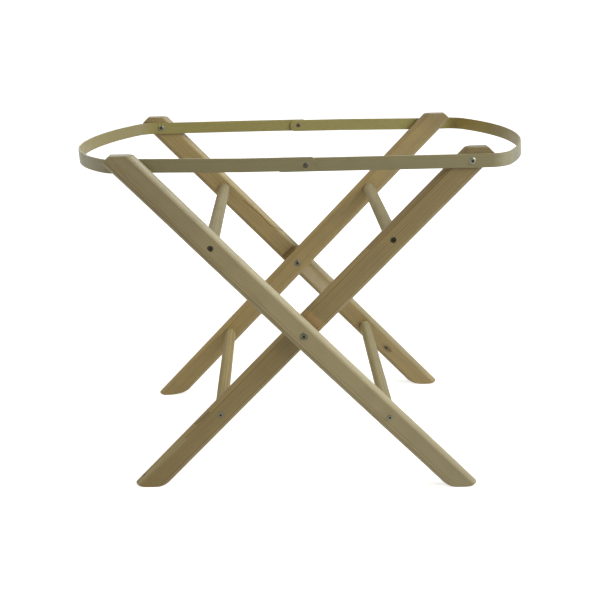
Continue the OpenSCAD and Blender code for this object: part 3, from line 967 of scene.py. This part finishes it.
def archPath(values, pivotX, endX, halfWidth, rivet):
    # Points (x, y) on the band's outer face from front lap to back lap, with their outward normals
    # and how far along the band they lie
    bendX = pivotX + values["bendPast"]
    rise = endX - bendX
    corner = values["cornerRadius"]
    cornerY = halfWidth - corner
    endRadius = (rise ** 2 + cornerY ** 2 - corner ** 2) / (2 * (rise - corner))
    endCentre = endX - endRadius
    endAngle = math.atan2(cornerY, bendX - endCentre)
    points = []

    def lapPoints(start, side):  # close together at the rounded end of the lap, then evenly to the bend
        marks = [start + spot * mm for spot in (0.02, 0.3, 1.2, 2.6, 4.2, 5.9, 9.0)]
        begin = marks[-1]
        steps = hoopValues["lapSteps"]
        marks += [begin + (bendX - begin) * index / steps for index in range(1, steps)]
        return [(Vector((x, side * halfWidth)), Vector((0, side))) for x in marks]

    def addArc(centre, radius, startAngle, sweep, steps, indexes):
        for index in indexes:
            angle = startAngle + sweep * index / steps
            normal = Vector((math.cos(angle), math.sin(angle)))
            points.append((Vector(centre) + normal * radius, normal))

    points += lapPoints(rivet - values["frontLap"], -1)
    cornerSteps = hoopValues["cornerSteps"]
    endSteps = hoopValues["endSteps"]
    cornerSweep = math.pi / 2 - endAngle
    addArc((bendX, -cornerY), corner, -math.pi / 2, cornerSweep, cornerSteps, range(cornerSteps))
    addArc((endCentre, 0), endRadius, -endAngle, 2 * endAngle, endSteps, range(endSteps + 1))
    addArc((bendX, cornerY), corner, endAngle, cornerSweep, cornerSteps, range(1, cornerSteps + 1))
    points += reversed(lapPoints(rivet - values["backLap"], 1))
    distance = 0.0
    path = []
    for index, (point, normal) in enumerate(points):
        if index:
            distance += (point - points[index - 1][0]).length
        path.append((point, normal, distance))
    return path


def bandSection(halfHeight, thickness, arris, steps=3):
    # (depth under the outer face, height) round the section
    arris = min(arris, halfHeight * 0.45)
    corners = [(arris, halfHeight - arris, 90), (arris, arris - halfHeight, 180),
               (thickness - arris, arris - halfHeight, 270), (thickness - arris, halfHeight - arris, 0)]
    section = []
    for depth, height, startAngle in corners:
        for index in range(steps + 1):
            angle = math.radians(startAngle + 90 * index / steps)
            section.append((depth + arris * math.cos(angle), height + arris * math.sin(angle)))
    return section


def bandToneAndPaintedLight(tree, color, values):
    # The inside is yellower, partly as painted warm bounce light; painted shade where the band turns and at the
    # right tip; the cut ends are darker end grain with a painted gap shadow
    turned = attribute(tree, "turned")
    straightTones = hoopValues["straightTones"]
    tones = [blendColor(tree, turned, *pair) for pair in zip(straightTones, values["turnedTones"])]
    if "tipTones" in values:
        out = calc(tree, "ABSOLUTE", axisOf(tree, coordinate(tree, "Object"), "X"))
        tips = zip(tones, values["tipTones"], values["tipReach"])
        tones = [blendColor(tree, ramp(tree, out, *reach), tone, tip) for tone, tip, reach in tips]
    tone = blendColor(tree, attribute(tree, "inside"), *tones)
    toned = blendColor(tree, 1.0, color, tone, kind="MULTIPLY")
    atEnd = calc(tree, "MULTIPLY", attribute(tree, "cutEnd"), hoopValues["endShade"])
    return blendColor(tree, atEnd, toned, hoopValues["endTone"])


def makeHalfHoop(halfName, pivotX, sign):
    # The path is laid out for the right half; sign turns it over for the left one
    node = "hoop_" + halfName
    values = hoopValues[halfName]
    thickness = hoopValues["thickness"]
    lap = hoopValues["lapRadius"]
    low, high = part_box(node)
    endX = high.x if sign > 0 else -low.x
    middle = (low.z + high.z) / 2
    halfHeight = (high.z - low.z) / 2
    pivot = abs(pivotX)
    path = archPath(values, pivot, endX, high.y, sign * boxCentre("rivet_outer_front").x)
    total = path[-1][2]
    work = bmesh.new()
    uvLayer = work.loops.layers.uv.new("alongBand")
    insideLayer = work.verts.layers.float.new("inside")
    endLayer = work.verts.layers.float.new("cutEnd")
    turnedLayer = work.verts.layers.float.new("turned")
    rings = []
    marks = {}
    for point, normal, distance in path:
        fromEnd = min(distance, total - distance)
        tall = math.sqrt(max(lap ** 2 - (lap - min(fromEnd + 0.02 * mm, lap)) ** 2, 0))
        section = bandSection(min(halfHeight, tall), thickness, hoopValues["arris"])
        out = max(0.0, point.x - pivot) / (endX - pivot)
        towardBack = 0.5 + 0.5 * point.y / high.y
        reached = max(hoopValues["riveted"], min(point.x / pivot, 1.0))
        lift = (values["frontLift"] * (1 - towardBack) + values["backLift"] * towardBack) * reached
        twist = values["twist"] * (2 * towardBack - 1) * min(1.0, 3 * out)  # full from a third on
        sag = values["droop"] * out ** 1.5 - lift - twist
        lean = values["lean"] * out
        ring = []
        for depth, height in section:
            place = point + normal * (lean * (0.5 - 0.5 * height / halfHeight) - depth)
            vertex = work.verts.new((sign * place.x, place.y, middle + height - sag))
            vertex[insideLayer] = 1.0 if depth > thickness / 2 else 0.0
            vertex[endLayer] = max(0.0, 1.0 - fromEnd / hoopValues["endReach"])
            vertex[turnedLayer] = min(1.0, abs(normal.x) * hoopValues["turnedGain"])
            marks[vertex] = (distance, height + depth * hoopValues["edgeSlip"])
            ring.append(vertex)
        rings.append(ring)
    closedTube(work, rings)
    for face in work.faces:
        for loop in face.loops:
            loop[uvLayer].uv = marks[loop.vert]
    looks = {**pineValues, **hoopValues["looks"], "seed": values["seed"],
             "tint": lambda tree, color: bandToneAndPaintedLight(tree, color, values)}
    material = woodMaterial(camel(node) + "Band", bandCoordinates, looks)
    piece = finishMesh(camel(node), work, material)
    evenShading(piece)
    standFor(piece, node)


makeHalfHoop("left", leftPivot.x, -1)
makeHalfHoop("right", rightPivot.x, 1)
print("hoop made")


# Screws, bolts, nuts and rivets

fastenerParts = ("head", "height", "rim", "socket", "socketDepth", "shank", "tip")
fastenerValues = {  # in millimetres, in the order of fastenerParts
    "dowelScrew": (11.0, 2.0, 0.7, 4.2, 1.5, 4.0, 6.0),
    "hoopScrew": (12.4, 2.2, 0.3, 4.4, 1.4, 5.0, 6.0),
    "pivotBolt": (15.2, 2.2, 0.4, 4.6, 1.4, 6.0, 0.4),
    "pivotNut": (15.0, 2.2, 0.4, 4.6, 1.4, 9.0, 0.4),
    "rivet": (9.2, 1.8, 0.2, 0.0, 0.0, 5.0, 0.3),
}
headValues = {"softening": 0.15, "lead": 0.35, "leadDepth": 0.25, "drillPoint": 0.4}  # in millimetres
hexCorner = 1 / math.cos(math.pi / 6)  # of a hexagon, from half its width across the flats


def headProfile(values, steps=7):
    # From the rim's underside over the dome to the middle
    radius = values["head"] / 2
    rim = values["rim"]
    rise = values["height"] - rim
    ball = (radius ** 2 + rise ** 2) / (2 * rise)
    soft = headValues["softening"]
    socket = values["socket"] / 2 * hexCorner
    inner = socket + headValues["lead"] if socket else 0.0

    def domeHeight(distance):
        return values["height"] - ball + math.sqrt(ball ** 2 - distance ** 2)

    profile = [(radius - soft, 0), (radius, soft)]
    for index in range(1, steps + 1):
        distance = radius + (inner - radius) * index / steps
        if distance > 0:
            profile.append((distance, domeHeight(distance)))
    if socket:
        mouth = domeHeight(inner) - headValues["leadDepth"]
        floor = domeHeight(0) - values["socketDepth"]
        profile += [(socket, mouth, "hex"), (socket * 0.97, floor + soft, "hex"),
                    (socket * 0.8, floor, "hex"), (0, floor - headValues["drillPoint"])]
    else:
        profile.append((0, values["height"]))
    return profile


def makeFastener(node, kind, seatY, outward, axis):
    values = dict(zip(fastenerParts, fastenerValues[kind]))
    low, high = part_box(node)
    length = (high.y - low.y) / mm - values["height"]
    shank = values["shank"] / 2
    tip = values["tip"]
    tipRadius = 0.4 if tip > 1 else shank - 0.3  # a long tip is a point, a short one a chamfer
    profile = [(0, -length), (tipRadius, -length), (shank, tip - length), (shank, 0)]
    profile += headProfile(values)
    scaledProfile = [(radius * mm, depth * mm, *hexed) for radius, depth, *hexed in profile]
    recessRadius = values["socket"] / 2 * hexCorner * 1.01 * mm  # just beyond the socket's corners
    work = bmesh.new()
    turnedMesh(work, scaledProfile, Vector((axis.x, seatY, axis.z)), outward, recessRadius=recessRadius)
    metal = metals["dullZinc" if kind == "pivotBolt" else slotOfNode[node]]  # the bolt is darker
    standFor(finishMesh(camel(node), work, metal, sharpDegrees=38), node)


layerGap = 0.2 * mm  # between layers that turn against each other
bandThickness = hoopValues["thickness"]
# how far the inner and the outer face of each leg lie from the middle plane
legFaces = {name: [corner.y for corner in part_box(name + "_leg_back")] for name in ("outer", "inner")}
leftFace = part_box("hoop_left")[1].y
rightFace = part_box("hoop_right")[1].y

for depthName, depthSide in (("front", -1), ("back", 1)):
    # node, kind, how far from the middle plane its head sits, which way that faces, and its axis
    fasteners = []
    for frameName, faces in legFaces.items():
        for level, sunk in (("upper", legValues["sunk"]), ("lower", 0)):
            screw = frameName + "_" + level + "_screw"
            axis = boxCentre(screw + "_" + depthName)
            fasteners.append((screw, "dowelScrew", faces[1] - sunk, 1, axis))
    rivetAxis = boxCentre("rivet_outer_" + depthName)
    fasteners += [
        ("pivot_bolt", "pivotBolt", legFaces["outer"][1], 1, crossing),
        ("pivot_nut", "pivotNut", legFaces["inner"][0] - layerGap, -1, crossing),
        ("left_hoop_screw", "hoopScrew", leftFace - bandThickness - layerGap, -1, leftPivot),
        ("right_hoop_screw", "hoopScrew", rightFace + layerGap, 1, rightPivot),
        ("rivet_outer", "rivet", leftFace, 1, rivetAxis),
        ("rivet_inner", "rivet", rightFace - bandThickness, -1, rivetAxis),
    ]
    for node, kind, seat, way, axis in fasteners:
        makeFastener(node + "_" + depthName, kind, depthSide * seat, depthSide * way, axis)
    spacer = frame["nodes"]["pivot_spacer_" + depthName]
    spacer.data.materials.clear()
    spacer.data.materials.append(metals["nylon"])
print("fasteners made")


# Floor, light and background

studioValues = {
    "floorSize": 60.0,
    "floorColor": srgb(204, 200, 190),
    "floorWhite": (0.74, 1.15),  # what the camera sees added near the object and far from it
    "floorFade": (0.5, 1.6),     # distances over which it goes from one to the other
    "worldLight": 0.0,
    "lamps": [
        # name, place, aim, size, power, colour
        ("windowHigh", (1.9, -0.4, 2.4), (0, 0, 0.4), 1.4, 81, (0.70, 0.82, 1.0)),
        ("windowLow", (2.4, -1.0, 1.2), (0, 0, 0.4), 1.4, 21, (0.68, 0.74, 1.0)),
        ("roomBack", (-0.7, 2.4, 1.8), (0, 0, 0.4), 1.8, 14, (1.0, 0.98, 0.94)),
        ("roomRight", (2.0, -1.5, 2.2), (0, 0, 0.4), 1.2, 31, (1.0, 0.94, 0.74)),
        ("roomLeft", (-1.9, -0.4, 2.4), (0, 0, 0.4), 1.4, 26, (1.0, 0.97, 0.80)),
        ("roomLow", (-2.4, -1.2, 0.9), (0, 0, 0.4), 1.4, 7, (1.0, 0.90, 0.78)),
    ],
}


def directView(tree):  # 1 for what the camera sees itself or in metal
    seen = addNode(tree, "ShaderNodeLightPath")
    mirrored = calc(tree, "MAXIMUM", seen.outputs["Is Glossy Ray"], seen.outputs["Is Transmission Ray"])
    return calc(tree, "MAXIMUM", seen.outputs["Is Camera Ray"], mirrored)


def makeFloor(values):
    half = values["floorSize"] / 2
    work = bmesh.new()
    corners = [work.verts.new((x * half, y * half, 0)) for x, y in ((-1, -1), (1, -1), (1, 1), (-1, 1))]
    work.faces.new(corners)
    material, tree, shader = newMaterial("floorPaper")
    feed(tree, values["floorColor"], shader.inputs["Base Color"])
    feed(tree, 0.9, shader.inputs["Roughness"])
    feed(tree, 0.0, shader.inputs["Specular IOR Level"])
    away = vectorCalc(tree, "LENGTH", coordinate(tree, "Object"))
    whiteness = ramp(tree, away, *values["floorFade"], *values["floorWhite"])
    glow = addNode(tree, "ShaderNodeEmission")
    feed(tree, (1, 1, 1, 1), glow.inputs["Color"])
    feed(tree, calc(tree, "MULTIPLY", directView(tree), whiteness), glow.inputs["Strength"])
    both = addNode(tree, "ShaderNodeAddShader")
    feed(tree, shader.outputs[0], both.inputs[0])
    feed(tree, glow.outputs[0], both.inputs[1])
    feed(tree, both.outputs[0], tree.nodes["Material Output"].inputs["Surface"])
    floor = finishMesh("floor", work, material)


def makeWorld(values):
    world = bpy.data.worlds.new("studio")
    bpy.context.scene.world = world
    world.use_nodes = True
    tree = world.node_tree
    background = tree.nodes["Background"]
    feed(tree, (1, 1, 1, 1), background.inputs["Color"])
    strength = ramp(tree, directView(tree), 0.0, 1.0, values["worldLight"], 1.0, smooth=False)
    feed(tree, strength, background.inputs["Strength"])


def makeLamp(name, place, aim, size, power, color):
    data = bpy.data.lights.new(name, "AREA")
    data.shape = "SQUARE"
    data.size = size
    data.energy = power
    data.color = color
    lamp = bpy.data.objects.new(name, data)
    lamp.location = place
    lamp.rotation_euler = (Vector(aim) - Vector(place)).to_track_quat("-Z", "Y").to_euler()
    bpy.context.scene.collection.objects.link(lamp)


makeFloor(studioValues)
makeWorld(studioValues)
for lampValues in studioValues["lamps"]:
    makeLamp(*lampValues)
bpy.context.scene.view_settings.view_transform = "Standard"
print("floor and light set")
